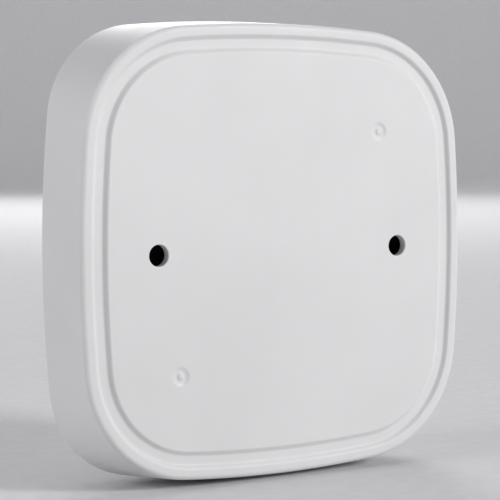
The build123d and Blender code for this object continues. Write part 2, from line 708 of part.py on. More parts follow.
CONTACT_X = -24.0
CONTACT_ROWS = (-17.5, -20.5, -23.5)
CONTACT_THICK = 0.3
CONTACT_WIDTH = 1.6
CONTACT_FOOT = 2.1
CONTACT_ARM = 4.5

with BuildPart() as sounder_contacts:
    # each is one strip: a foot on the board, an upright, and an arm that presses on the disc
    for row in CONTACT_ROWS:
        block(CONTACT_THICK, CONTACT_WIDTH, BOARD_TOP, DISC_LOW, (CONTACT_X, row))
        foot = CONTACT_X + (CONTACT_THICK - CONTACT_FOOT) / 2
        block(CONTACT_FOOT, CONTACT_WIDTH, BOARD_TOP, BOARD_TOP + CONTACT_THICK, (foot, row))
        arm = CONTACT_X + (CONTACT_ARM - CONTACT_THICK) / 2
        block(CONTACT_ARM, CONTACT_WIDTH, DISC_LOW - CONTACT_THICK, DISC_LOW, (arm, row))
finish(sounder_contacts, "sounder_contacts")

# ---------------------------------------------------------------- the sealed cell
CELL_LEFT = CELL_X - CELL_LENGTH / 2
CELL_RIGHT = CELL_X + CELL_LENGTH / 2
CELL_END_ROUND = 0.8
NUB_RADIUS = 3.2
SLEEVE_SHORT = 0.9  # how far the sleeve stops from each end
TAB_THICK = 0.2
TAB_WIDTH = 4.0
TAB_FOOT = 2.8
PAD_SIZE = (16.0, 6.0)


def cell_plane(x):
    """A plane across the cell, centred on its axis."""
    return Plane((x, CELL_Y, CELL_Z), x_dir=(0, 1, 0), z_dir=(1, 0, 0))


with BuildPart() as battery_cell:
    with BuildSketch(cell_plane(CELL_LEFT)):
        Circle(CELL_RADIUS - SLEEVE)
    extrude(amount=CELL_LENGTH - CELL_NUB)
    ends = battery_cell.faces().filter_by(Axis.X).edges()
    fillet(ends, CELL_END_ROUND)
    with BuildSketch(cell_plane(CELL_RIGHT - CELL_NUB)):
        Circle(NUB_RADIUS)
    extrude(amount=CELL_NUB)
finish(battery_cell, "battery_cell")

with BuildPart() as battery_sleeve:
    with BuildSketch(cell_plane(CELL_LEFT + SLEEVE_SHORT)):
        Circle(CELL_RADIUS)
        Circle(CELL_RADIUS - SLEEVE, mode=Mode.SUBTRACT)
    extrude(amount=CELL_LENGTH - CELL_NUB - 2 * SLEEVE_SHORT)
finish(battery_sleeve, "battery_sleeve")

with BuildPart() as battery_tabs:
    for end, out in ((CELL_LEFT, -1), (CELL_RIGHT, 1)):
        upright = (end + out * TAB_THICK / 2, CELL_Z)
        foot = (end + out * TAB_FOOT / 2, CELL_Z)
        block(TAB_THICK, TAB_WIDTH, CELL_Y - TAB_WIDTH / 2, BOARD_TOP + TAB_THICK, upright)
        block(TAB_FOOT, TAB_WIDTH, BOARD_TOP, BOARD_TOP + TAB_THICK, foot)
finish(battery_tabs, "battery_tabs")

with BuildPart() as battery_pad:
    block(*PAD_SIZE, CHASSIS_LOW + CHASSIS_FLOOR, CELL_Y - CELL_RADIUS - FIT / 2, (CELL_X, CELL_Z))
finish(battery_pad, "battery_pad")

# ---------------------------------------------------------------- the test button
CAP_TOP = COVER_TOP + BUTTON_PROUD
CAP_THICK = 1.6
CAP_ROUND = 0.8
CAP_UNDER = CAP_TOP - CAP_THICK
LIP_TOP = COVER_TOP - WALL - GAP
LIP_LOW = LIP_TOP - BUTTON_LIP_THICK
TACT_LEG = (0.7, 1.4)
TACT_LEG_SPACING = 4.5
TACT_LEG_THICK = 0.4

with BuildPart() as test_button:
    disc(BUTTON_RADIUS, LIP_TOP, CAP_TOP, BUTTON_AT)
    fillet(test_button.faces().sort_by(Axis.Y)[-1].edges(), CAP_ROUND)
    disc(BUTTON_RADIUS + BUTTON_LIP, LIP_LOW, LIP_TOP, BUTTON_AT)
    disc(BUTTON_RADIUS - BUTTON_WALL, LIP_LOW, CAP_UNDER, BUTTON_AT, Mode.SUBTRACT)
    disc(STEM_RADIUS, PLUNGER_TOP, CAP_UNDER, BUTTON_AT)
finish(test_button, "test_button")

with BuildPart() as button_spring:
    spring_low = TACT_TOP + SPRING_WIRE
    spring_high = CAP_UNDER - SPRING_WIRE
    centre = Vector(BUTTON_AT[0], spring_low, BUTTON_AT[1])
    with BuildLine() as coil:
        Helix(
            pitch=(spring_high - spring_low) / SPRING_TURNS,
            height=spring_high - spring_low,
            radius=SPRING_RADIUS,
            center=centre,
            direction=(0, 1, 0),
        )
    with BuildSketch(Plane(origin=coil.line @ 0, z_dir=coil.line % 0)):
        Circle(SPRING_WIRE)
    sweep(path=coil.line, is_frenet=True)
finish(button_spring, "button_spring")

with BuildPart() as tact_switch:
    block(TACT_SIZE, TACT_SIZE, BOARD_TOP, TACT_TOP, BUTTON_AT)
    disc(PLUNGER_RADIUS + FIT / 2, TACT_TOP - TACT_WELL, TACT_TOP, BUTTON_AT, Mode.SUBTRACT)
    with BuildSketch(facing(BOARD_TOP)):
        with Locations(BUTTON_AT):
            with GridLocations(TACT_LEG_SPACING, TACT_SIZE + TACT_LEG[1], 2, 2):
                Rectangle(*TACT_LEG)
    deepen(TACT_LEG_THICK)
finish(tact_switch, "tact_switch")

with BuildPart() as switch_plunger:
    plunger_low = TACT_TOP - TACT_WELL + BUTTON_TRAVEL + 2 * FIT
    disc(PLUNGER_RADIUS, plunger_low, PLUNGER_TOP, BUTTON_AT)
finish(switch_plunger, "switch_plunger")

# ---------------------------------------------------------------- the power switch
SWITCH_X = -SHUTTLE_TRAVEL / 2
SWITCH_LOW = BOARD_LOW - 4.0
SWITCH_BODY = (12.0, 5.0)
SWITCH_WELL = 2.0
KNOB = 2.0
KNOB_LOW = SWITCH_LOW - 3.2
SHUTTLE_PLATE = (9.0, 6.0)
SHUTTLE_THICK = 1.2
ARM_LENGTH = 3.0

with BuildPart() as power_switch:
    block(*SWITCH_BODY, SWITCH_LOW, BOARD_LOW, (SWITCH_X, SHUTTLE_Z))
    well = (SHUTTLE_TRAVEL + KNOB + 2 * GAP, KNOB + 2 * GAP)
    block(*well, SWITCH_LOW, SWITCH_LOW + SWITCH_WELL, (SWITCH_X, SHUTTLE_Z), Mode.SUBTRACT)
finish(power_switch, "power_switch")

with BuildPart() as switch_knob:
    block(KNOB, KNOB, KNOB_LOW, SWITCH_LOW + SWITCH_WELL - GAP, (0, SHUTTLE_Z))
finish(switch_knob, "switch_knob")

with BuildPart() as power_shuttle:
    shuttle_low = CHASSIS_LOW + CHASSIS_FLOOR + GAP
    shuttle_top = shuttle_low + SHUTTLE_THICK
    block(*SHUTTLE_PLATE, shuttle_low, shuttle_top, (0, SHUTTLE_Z))
    disc(PEG_RADIUS, PEG_LOW, shuttle_low, (0, SHUTTLE_Z))
    # two arms that carry the switch's knob between them
    for side in (1, -1):
        arm = (side * (KNOB / 2 + FIT + SHUTTLE_THICK / 2), SHUTTLE_Z)
        block(SHUTTLE_THICK, ARM_LENGTH, shuttle_top, SWITCH_LOW - 2 * GAP, arm)
finish(power_shuttle, "power_shuttle")
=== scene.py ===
import json
import math

import bmesh
import bpy
from mathutils import Matrix, Vector

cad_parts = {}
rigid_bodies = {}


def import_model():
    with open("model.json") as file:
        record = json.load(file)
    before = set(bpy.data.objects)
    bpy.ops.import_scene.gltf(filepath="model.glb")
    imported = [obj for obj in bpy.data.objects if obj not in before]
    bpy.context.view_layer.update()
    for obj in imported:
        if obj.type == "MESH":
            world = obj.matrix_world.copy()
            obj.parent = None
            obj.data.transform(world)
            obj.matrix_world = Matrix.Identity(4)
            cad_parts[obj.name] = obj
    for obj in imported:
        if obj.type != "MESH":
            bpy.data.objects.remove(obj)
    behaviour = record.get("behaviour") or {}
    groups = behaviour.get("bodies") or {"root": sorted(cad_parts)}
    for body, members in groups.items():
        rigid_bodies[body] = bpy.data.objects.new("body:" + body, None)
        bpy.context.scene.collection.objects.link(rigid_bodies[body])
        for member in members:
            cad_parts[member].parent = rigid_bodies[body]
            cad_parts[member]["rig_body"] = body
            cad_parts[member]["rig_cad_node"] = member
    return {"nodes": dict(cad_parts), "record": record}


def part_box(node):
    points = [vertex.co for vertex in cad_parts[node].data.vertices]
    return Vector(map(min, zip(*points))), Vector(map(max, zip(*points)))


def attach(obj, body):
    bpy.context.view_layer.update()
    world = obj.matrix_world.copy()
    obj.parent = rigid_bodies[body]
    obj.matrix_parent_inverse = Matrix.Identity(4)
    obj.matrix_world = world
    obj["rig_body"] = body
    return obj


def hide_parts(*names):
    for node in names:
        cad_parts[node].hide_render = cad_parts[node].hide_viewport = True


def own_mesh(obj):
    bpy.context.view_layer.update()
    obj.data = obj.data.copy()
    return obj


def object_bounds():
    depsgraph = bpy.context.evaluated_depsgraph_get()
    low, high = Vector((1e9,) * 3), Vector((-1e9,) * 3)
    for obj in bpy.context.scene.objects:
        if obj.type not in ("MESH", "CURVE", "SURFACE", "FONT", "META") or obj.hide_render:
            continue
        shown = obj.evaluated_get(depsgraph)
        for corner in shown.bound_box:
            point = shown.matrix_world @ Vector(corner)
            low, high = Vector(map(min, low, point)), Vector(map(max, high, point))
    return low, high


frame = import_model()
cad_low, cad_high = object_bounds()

# The frame: the mounting face is Y = 0 and faces -Y, +Z is up, and depths run along +Y, in metres.
MM = 0.001
SIDES = 288  # points round a bulged square outline

record = frame["record"]
mounts = {mount["name"]: mount for mount in record["mounts"]}
node_slot = {row["node"]: row["material_slot"] for row in record["subparts"]}
node_body = {node: body for body, nodes in record["behaviour"]["bodies"].items() for node in nodes}
HOLE_REACH = mounts["screw_holes"]["dims"]["spacing_x_mm"] * MM / 2
HOLE_RADIUS = mounts["screw_holes"]["dims"]["hole_r_mm"] * MM

base_low, base_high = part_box("rear_base")
cover_low, cover_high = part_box("front_cover")
WALL = 2.0 * MM

# An outline is (half width, radius of a bulged side, radius of a corner).
RIM_OUTLINE = (47.5 * MM, 288.0 * MM, 25.2 * MM)
EDGE_OUTLINE = (base_high.x, 291.0 * MM, 20.4 * MM)
COVER_OUTLINE = (cover_high.x, 290.0 * MM, 20.0 * MM)
FACE_OUTLINE = (cover_high.x - 10 * MM, 230.0 * MM, 16.0 * MM)


# ---------------------------------------------------------------- outlines
def inset(outline, by):
    """The outline a constant distance inside another one."""
    return tuple(size - by for size in outline)


def between(first, second, share):
    """The outline part of the way from one to another."""
    return tuple(a + (b - a) * share for a, b in zip(first, second))


def reach(outline, angle):
    """How far an outline is from its centre in one direction. A plain number is a circle."""
    if not isinstance(outline, tuple):
        return outline
    half, side_radius, corner_radius = outline
    side_centre = half - side_radius
    inner = side_radius - corner_radius
    corner = (side_centre + math.sqrt(2 * inner**2 - side_centre**2)) / 2
    turn = math.atan2(corner, corner - side_centre)
    joined = math.atan2(side_radius * math.sin(turn), side_centre + side_radius * math.cos(turn))
    quarter = math.pi / 2
    folded = abs((angle + quarter / 2) % quarter - quarter / 2)
    if folded <= joined:
        centre, radius = Vector((side_centre, 0)), side_radius
    else:
        centre, radius = Vector((corner, corner)), corner_radius
    along = Vector((math.cos(folded), math.sin(folded))).dot(centre)
    return along + math.sqrt(along**2 - centre.length_squared + radius**2)


def eased(start, end, steps):
    """Pairs that go from start to end with no kink at either end, start left out."""
    pairs = []
    for step in range(1, steps + 1):
        share = step / steps
        rise = (1 - math.cos(math.pi * share)) / 2
        pairs.append((start[0] + (end[0] - start[0]) * share, start[1] + (end[1] - start[1]) * rise))
    return pairs


def arc(centre, radius, first, last, steps):
    """Points on an arc, at angles in degrees from the first coordinate's axis."""
    angles = [math.radians(first + (last - first) * step / steps) for step in range(steps + 1)]
    return [(centre[0] + radius * math.cos(a), centre[1] + radius * math.sin(a)) for a in angles]


# ---------------------------------------------------------------- modelling
def deselect():
    for thing in bpy.context.selected_objects:
        thing.select_set(False)


def only(piece):
    """Make one object the only selected and the active one."""
    deselect()
    piece.select_set(True)
    bpy.context.view_layer.objects.active = piece


def select_edges(piece, wanted):
    """In edit mode, select just the edges for which wanted(end, other end) holds."""
    mesh = bmesh.from_edit_mesh(piece.data)
    bpy.ops.mesh.select_mode(type="EDGE")
    bpy.ops.mesh.select_all(action="DESELECT")
    for edge in mesh.edges:
        if wanted(edge.verts[0].co, edge.verts[1].co):
            edge.select = True
    mesh.select_flush_mode()
    bmesh.update_edit_mesh(piece.data)


def close_open_edges(piece):
    """In edit mode, put a face across whatever is left open."""
    bpy.ops.mesh.select_mode(type="EDGE")
    bpy.ops.mesh.select_all(action="DESELECT")
    bpy.ops.mesh.select_non_manifold(extend=False, use_wire=False, use_multi_face=False, use_verts=False)
    bpy.ops.mesh.edge_face_add()


def divide_flats(piece, across, up, least_area):
    """Cut the large flat faces along upright and level lines, so that each hole gets its own small face."""
    only(piece)
    bpy.ops.object.mode_set(mode="EDIT")
    bpy.ops.mesh.select_mode(type="FACE")
    lines = [((x, 0, 0), (1, 0, 0)) for x in across] + [((0, 0, z), (0, 0, 1)) for z in up]
    for point, normal in lines:
        mesh = bmesh.from_edit_mesh(piece.data)
        bpy.ops.mesh.select_all(action="DESELECT")
        for face in mesh.faces:
            face.select = abs(face.normal.y) > 0.9999 and face.calc_area() > least_area
        bmesh.update_edit_mesh(piece.data)
        bpy.ops.mesh.bisect(plane_co=point, plane_no=normal)
    bpy.ops.object.mode_set(mode="OBJECT")
    return piece


def stack(name, rings, sides=SIDES, centre=(0, 0), ends=True):
    """A skin drawn ring by ring: a circle is put on the first outline, and extruded to each next one."""
    deselect()
    bpy.ops.mesh.primitive_circle_add(vertices=sides, radius=1, rotation=(math.pi / 2, 0, 0))
    bpy.ops.object.transform_apply(rotation=True)
    piece = bpy.context.object
    piece.name = name
    bpy.ops.object.mode_set(mode="EDIT")
    bpy.ops.mesh.select_mode(type="VERT")
    bpy.ops.mesh.select_all(action="SELECT")
    for index, (outline, depth) in enumerate(rings):
        if index:
            bpy.ops.mesh.extrude_region()
        mesh = bmesh.from_edit_mesh(piece.data)
        for point in [vertex for vertex in mesh.verts if vertex.select]:
            if index:
                angle = math.atan2(point.co.z - centre[1], point.co.x - centre[0])
            else:
                angle = math.atan2(point.co.z, point.co.x)
            far = reach(outline, angle)
            point.co = (centre[0] + far * math.cos(angle), depth, centre[1] + far * math.sin(angle))
        bmesh.update_edit_mesh(piece.data)
    if ends:
        bpy.ops.mesh.edge_face_add()
        close_open_edges(piece)
    bpy.ops.mesh.select_all(action="SELECT")
    bpy.ops.mesh.normals_make_consistent(inside=False)
    bpy.ops.object.mode_set(mode="OBJECT")
    return piece


def block(name, low, high, turn=0.0, round_edges=0.0):
    """A box between two corners, turned about the middle axis of the detector, with rounded edges."""
    low, high = Vector(low), Vector(high)
    deselect()
    bpy.ops.mesh.primitive_cube_add(size=1, location=(low + high) / 2)
    piece = bpy.context.object
    piece.name = name
    piece.scale = high - low
    bpy.ops.object.transform_apply(location=True, rotation=True, scale=True)
    if round_edges:
        bpy.ops.object.mode_set(mode="EDIT")
        bpy.ops.mesh.select_all(action="SELECT")
        bpy.ops.mesh.bevel(offset=round_edges, segments=3, affect="EDGES")
        bpy.ops.object.mode_set(mode="OBJECT")
    if turn:
        piece.data.transform(Matrix.Rotation(-math.radians(turn), 4, "Y"))
    return piece


def joined(pieces, name):
    """Several separate solids as one object."""
    only(pieces[0])
    for piece in pieces:
        piece.select_set(True)
    bpy.ops.object.join()
    bpy.context.object.name = name
    return bpy.context.object


def combine(piece, tool, operation="DIFFERENCE"):
    """Cut one solid with another, or weld it on, and drop the tool."""
    only(piece)
    cut = piece.modifiers.new("combine", "BOOLEAN")
    cut.operation = operation
    cut.object = tool
    cut.solver = "EXACT"
    bpy.ops.object.modifier_apply(modifier=cut.name)
    bpy.data.objects.remove(tool)
    return piece


def soften(piece, wanted, width, segments=3):
    """Round the edges that wanted() picks."""
    only(piece)
    bpy.ops.object.mode_set(mode="EDIT")
    select_edges(piece, wanted)
    bpy.ops.mesh.bevel(offset=width, segments=segments, affect="EDGES", clamp_overlap=True)
    bpy.ops.object.mode_set(mode="OBJECT")
    return piece


def smooth(piece, angle=32):
    """Shade smooth across gentle edges, and keep flat faces flat beside them."""
    only(piece)
    bpy.ops.object.shade_smooth_by_angle(angle=math.radians(angle))
    weighted = piece.modifiers.new("weighted", "WEIGHTED_NORMAL")
    weighted.keep_sharp = True
    bpy.ops.object.modifier_apply(modifier=weighted.name)
    return piece


def stand_for(piece, *nodes):
    """The finished piece takes the place of CAD nodes: same body, same slot, and its material."""
    only(piece)
    bpy.ops.object.transform_apply(location=True, rotation=True, scale=True)
    piece.data.materials.clear()
    piece.data.materials.append(finishes[node_slot[nodes[0]]])
    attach(piece, node_body[nodes[0]])
    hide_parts(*nodes)
    return piece


# ---------------------------------------------------------------- materials
def linear(code):
    """A colour written as sRGB hex, as the linear RGBA that shaders take."""
    parts = [int(code[i : i + 2], 16) / 255 for i in (1, 3, 5)]
    return (*[p / 12.92 if p <= 0.04045 else ((p + 0.055) / 1.055) ** 2.4 for p in parts], 1.0)


def add_node(material, kind, settings=None, values=None, links=None):
    """Add one node: its own settings, the numbers in its sockets, and what is plugged in to them."""
    tree = material.node_tree
    made = tree.nodes.new(kind)
    for name, value in (settings or {}).items():
        setattr(made, name, value)
    for name, value in (values or {}).items():
        made.inputs[name].default_value = value
    for name, source in (links or {}).items():
        tree.links.new(source, made.inputs[name])
    return made


def new_material(name, values):
    """A material with one Principled shader, and the Object coordinates that its patterns read."""
    material = bpy.data.materials.new(name)
    material.use_nodes = True
    material.node_tree.nodes.clear()
    shader = add_node(material, "ShaderNodeBsdfPrincipled", values=values)
    add_node(material, "ShaderNodeOutputMaterial", links={"Surface": shader.outputs["BSDF"]})
    place = add_node(material, "ShaderNodeTexCoord").outputs["Object"]
    return material, shader, place


def per_metre(size):
    """The scale of a noise or cell pattern whose features are about this big."""
    return 1 / size


def noise(material, place, size, detail=2.0, roughness=0.5):
    values = {"Scale": per_metre(size), "Detail": detail, "Roughness": roughness}
    return add_node(material, "ShaderNodeTexNoise", values=values, links={"Vector": place}).outputs["Fac"]


def ramp(material, source, low, high, first=0.0, last=1.0):
    """Stretch a pattern between two values."""
    values = {"From Min": first, "From Max": last, "To Min": low, "To Max": high}
    made = add_node(material, "ShaderNodeMapRange", values=values, links={"Value": source})
    return made.outputs["Result"]


def tint(material, share, first, second):
    """Two colours mixed by a pattern."""
    return add_node(
        material,
        "ShaderNodeMix",
        settings={"data_type": "RGBA"},
        values={6: linear(first), 7: linear(second)},
        links={0: share},
    ).outputs[2]


def bump(material, shader, height, depth, strength=1.0, under=None):
    """Raise the surface by a pattern, on top of another bump if there is one."""
    links = {"Height": height}
    if under:
        links["Normal"] = under
    made = add_node(
        material,
        "ShaderNodeBump",
        values={"Strength": strength, "Distance": depth},
        links=links,
    ).outputs["Normal"]
    material.node_tree.links.new(made, shader.inputs["Normal"])
    return made


def plug(material, source, shader, socket):
    material.node_tree.links.new(source, shader.inputs[socket])


def moulded_asa_white(name, light, dark):
    """White ASA, injection moulded against a spark-eroded tool: a dull satin skin with a very fine even
    grain, a slow drift of tone where the melt flowed, and a faintly soft edge to its shadows."""
    material, shader, place = new_material(
        name,
        {
            "Roughness": 0.5,
            "IOR": 1.5,
            "Subsurface Weight": 0.05,
            "Subsurface Scale": 0.4 * MM,
            "Subsurface Radius": (1.0, 0.9, 0.8),
        },
    )
    flow = ramp(material, noise(material, place, 38 * MM, 3.0), 0, 1, 0.35, 0.65)
    plug(material, tint(material, flow, light, dark), shader, "Base Color")
    # spark grain is about 0.05 mm, drawn at 0.22 mm so that it shows
    grain = noise(material, place, 0.22 * MM, 2.0, 0.6)
    sheen = ramp(material, noise(material, place, 9 * MM, 4.0), 0.44, 0.54, 0.3, 0.7)
    plug(material, sheen, shader, "Roughness")
    sink = bump(material, shader, noise(material, place, 16 * MM, 1.0), 0.03 * MM, 0.5)
    bump(material, shader, grain, 0.006 * MM, 0.6, sink)
    return material


def moulded_black(name, colour, rough, grain_size):
    """Black ABS with carbon black: deep, dull, and grained, so it only shows along its lit edges."""
    material, shader, place = new_material(name, {"Roughness": rough, "IOR": 1.53})
    patches = ramp(material, noise(material, place, 6 * MM, 3.0), rough - 0.06, rough + 0.06, 0.3, 0.7)
    plug(material, patches, shader, "Roughness")
    tone = noise(material, place, 12 * MM, 2.0)
    plug(material, tint(material, tone, colour, "#0B0B0C"), shader, "Base Color")
    bump(material, shader, noise(material, place, grain_size, 3.0, 0.6), 0.02 * MM, 0.7)
    return material


def solder_mask_green(name):
    """Glass-fibre board under green solder mask: glossy, darker where copper runs beneath, with the
    faint weave of the cloth."""
    material, shader, place = new_material(name, {"Roughness": 0.28, "IOR": 1.55})
    turned = add_node(
        material,
        "ShaderNodeMapping",
        values={"Rotation": (math.pi / 2, 0, 0)},
        links={"Vector": place},
    ).outputs["Vector"]
    track = add_node(
        material,
        "ShaderNodeTexBrick",
        settings={"offset": 0.35, "squash": 1.8, "squash_frequency": 3},
        values={
            "Color1": (0, 0, 0, 1),
            "Color2": (0, 0, 0, 1),
            "Mortar": (1, 1, 1, 1),
            "Scale": per_metre(1 * MM),
            "Brick Width": 4.2,
            "Row Height": 1.3,
            "Mortar Size": 0.14,
            "Mortar Smooth": 0.2,
        },
        links={"Vector": turned},
    ).outputs["Color"]
    plug(material, tint(material, track, "#0E5A2C", "#1B7A3C"), shader, "Base Color")
    weave = noise(material, place, 0.6 * MM, 1.0)
    copper = bump(material, shader, track, 0.035 * MM, 0.8)
    bump(material, shader, weave, 0.008 * MM, 0.5, copper)
    return material


def moulded_epoxy(name, colour):
    """Black epoxy chip packages: matt, with a fine sandy skin from the mould."""
    material, shader, place = new_material(name, {"Roughness": 0.55, "IOR": 1.55})
    speckle = noise(material, place, 0.15 * MM, 3.0)
    plug(material, tint(material, speckle, colour, "#2B2B2E"), shader, "Base Color")
    bump(material, shader, speckle, 0.01 * MM, 0.6)
    return material


def plated_steel(name, colour, rough, line_size):
    """Nickel-plated pressed steel: bright, with fine drawn lines and cloudy patches of finger dulling."""
    material, shader, place = new_material(
        name, {"Metallic": 1.0, "Roughness": rough, "Base Color": linear(colour)}
    )
    drawn = add_node(
        material,
        "ShaderNodeMapping",
        values={"Scale": (0.05, 1.0, 1.0)},
        links={"Vector": place},
    ).outputs["Vector"]
    lines = noise(material, drawn, line_size, 3.0)
    cloud = ramp(material, noise(material, place, 4 * MM, 3.0), rough - 0.07, rough + 0.1, 0.3, 0.7)
    plug(material, cloud, shader, "Roughness")
    bump(material, shader, lines, 0.004 * MM, 0.5)
    return material


def fired_ceramic(name, light, dark):
    """Unglazed fired ceramic: chalky, faintly mottled."""
    material, shader, place = new_material(name, {"Roughness": 0.7, "IOR": 1.6})
    mottle = noise(material, place, 0.8 * MM, 4.0)
    plug(material, tint(material, mottle, light, dark), shader, "Base Color")
    bump(material, shader, noise(material, place, 0.1 * MM, 2.0), 0.01 * MM, 0.6)
    return material


def cast_epoxy_lens(name, colour, alpha=1.0):
    """Clear cast resin: wet gloss, light passes through it."""
    material, shader, place = new_material(
        name,
        {
            "Base Color": linear(colour),
            "Roughness": 0.12,
            "IOR": 1.49,
            "Transmission Weight": 1.0 - alpha,
        },
    )
    haze = ramp(material, noise(material, place, 3 * MM, 2.0), 0.08, 0.2, 0.3, 0.7)
    plug(material, haze, shader, "Roughness")
    return material


def silicone(name):
    """Soft grey silicone: dull with a faint bloom."""
    material, shader, place = new_material(name, {"Roughness": 0.75, "IOR": 1.41})
    bloom = noise(material, place, 2 * MM, 3.0)
    plug(material, tint(material, bloom, "#8C8C8E", "#757578"), shader, "Base Color")
    bump(material, shader, noise(material, place, 0.2 * MM, 2.0), 0.01 * MM, 0.5)
    return material


def shrink_film(name):
    """Blue PVC film shrunk on the cell: glossy, drawn tight, with faint lengthwise stretch lines."""
    material, shader, place = new_material(name, {"Roughness": 0.25, "IOR": 1.54})
    stretched = add_node(
        material,
        "ShaderNodeMapping",
        values={"Scale": (0.08, 1.0, 1.0)},
        links={"Vector": place},
    ).outputs["Vector"]
    lines = noise(material, stretched, 0.7 * MM, 3.0)
    plug(material, tint(material, lines, "#1F3F86", "#254A98"), shader, "Base Color")
    bump(material, shader, lines, 0.02 * MM, 0.5)
    return material


finishes = {
    "housing_white": moulded_asa_white("asa_housing_white", "#E3E3E3", "#DEDEDE"),
    "button_white": moulded_asa_white("asa_button_white", "#E0E0E0", "#D9D9D9"),
    "chassis_black": moulded_black("abs_chassis_black", "#161617", 0.5, 0.3 * MM),
    "optics_black": moulded_black("abs_optics_black", "#0C0C0D", 0.72, 0.2 * MM),
    "board_green": solder_mask_green("solder_mask_green"),
    "chip_black": moulded_epoxy("epoxy_chip_black", "#1D1D20"),
    "plunger_red": moulded_black("nylon_plunger_red", "#8C1A12", 0.45, 0.3 * MM),
    "steel": plated_steel("nickel_plated_steel", "#C4C4C6", 0.28, 0.12 * MM),
    "chip_ceramic": fired_ceramic("fired_ceramic_tan", "#CFC3AC", "#B9AC93"),
    "ferrite": fired_ceramic("sintered_ferrite", "#2E2E31", "#232326"),
    "can_aluminium": plated_steel("drawn_aluminium_can", "#DADBDE", 0.32, 0.2 * MM),
    "lamp_epoxy": cast_epoxy_lens("cast_epoxy_lamp", "#E8E9DF", 0.35),
    "clear_acrylic": cast_epoxy_lens("moulded_acrylic_clear", "#F1F4F3", 0.2),
    "brass": plated_steel("rolled_brass", "#D8B45E", 0.3, 0.3 * MM),
    "silicone": silicone("silicone_grey"),
    "sleeve_film": shrink_film("pvc_shrink_film"),
}


# ---------------------------------------------------------------- the wall base
CHANNEL_DEPTH = 0.75 * MM
CHANNEL_TOP_OUT = 2.1 * MM  # each line of the channel, measured in from the rim
CHANNEL_FLOOR_OUT = 3.3 * MM
CHANNEL_FLOOR_IN = 4.75 * MM
CHANNEL_TOP_IN = 6.1 * MM
RIM_ROUND = 1.0 * MM
LIP_ROUND = 0.35 * MM
FLOOR_ROUND = 1.2 * MM
GATE_AT = 25.0 * MM
GATE_DISH = 2.2 * MM
GATE_PIP = 0.85 * MM
GATE_SINK = 0.25 * MM
NOTCH_HALF = 23.0 * MM
NOTCH_DEPTH = 2.0 * MM
HOOK_ANGLES = (30, 150, 270)
HOOK_LEAD = 2  # degrees that a hook's middle is ahead of its lug's
STOP_LEAD = 7
HOOK_INNER, HOOK_WALL, HOOK_OUTER = 38.2 * MM, 41.0 * MM, 43.0 * MM
HOOK_LIP, HOOK_TOP = 8.7 * MM, 10.4 * MM
HOOK_HALF, STOP_HALF = 5.25 * MM, 0.8 * MM
BAND_EDGES = (20.0 * MM, HOLE_REACH + 5.0 * MM)  # where the panel is divided beside the gates and the holes
GATE_BAND = (21.0 * MM, 29.0 * MM)
MIDDLE_BAND = 6.0 * MM
SUNK = 0.3 * MM  # how far what stands on the base's floor runs into it
FORK_Z = 20.0 * MM
FORK_TOP = 5.6 * MM
FORK_HALF = 3.0 * MM
FORK_NEAR, FORK_FAR = 1.8 * MM, 3.4 * MM
RIB_HALF = (20.0 * MM, 13.0 * MM)
RIB_THICK = 1.2 * MM
RIB_HEIGHT = 1.2 * MM


def wall_outline(depth):
    """The base's outside at a depth."""
    return between(RIM_OUTLINE, EDGE_OUTLINE, depth / base_high.y)


def base_rings():
    """From the middle panel out over the channel and the rim, down the wall, and up inside it."""
    rings = [(inset(RIM_OUTLINE, CHANNEL_TOP_IN), 0.0)]
    slopes = eased((CHANNEL_TOP_IN, 0), (CHANNEL_FLOOR_IN, CHANNEL_DEPTH), 8)
    slopes += [(CHANNEL_FLOOR_OUT, CHANNEL_DEPTH)]
    slopes += eased((CHANNEL_FLOOR_OUT, CHANNEL_DEPTH), (CHANNEL_TOP_OUT, 0), 8)
    rings += [(inset(RIM_OUTLINE, by), depth) for by, depth in slopes]
    for by, depth in arc((RIM_ROUND, RIM_ROUND), RIM_ROUND, -90, -180, 8):
        rings.append((inset(wall_outline(depth), by), depth))
    for share in (0.35, 0.7):
        depth = base_high.y * share
        rings.append((wall_outline(depth), depth))
    edge = base_high.y
    for by, depth in arc((LIP_ROUND, edge - LIP_ROUND), LIP_ROUND, 180, 90, 4):
        rings.append((inset(wall_outline(depth), by), depth))
    for by, depth in arc((WALL - LIP_ROUND, edge - LIP_ROUND), LIP_ROUND, 90, 0, 4):
        rings.append((inset(wall_outline(depth), by), depth))
    for by, depth in arc((WALL + FLOOR_ROUND, WALL + FLOOR_ROUND), FLOOR_ROUND, 180, 270, 5):
        rings.append((inset(wall_outline(depth), by), depth))
    return rings


def cylinder(name, centre, radius, low, high, sides=64):
    """A plain round solid along the depth."""
    return stack(name, [(radius, low), (radius, high)], sides, centre)


def gate_mark(shell, centre):
    """Cut a shallow soft-edged dish, and leave the stub of the moulding gate in its middle."""
    rings = [(GATE_DISH, -1 * MM), (GATE_DISH, 0.0)]
    rings += eased((GATE_DISH, 0.0), (GATE_PIP + 0.35 * MM, GATE_SINK), 6)
    rings += [(GATE_PIP, GATE_SINK)]
    rings += eased((GATE_PIP, GATE_SINK), (GATE_PIP * 0.4, GATE_SINK * 0.2), 5)
    combine(shell, stack("gate_dish", rings, 48, centre))


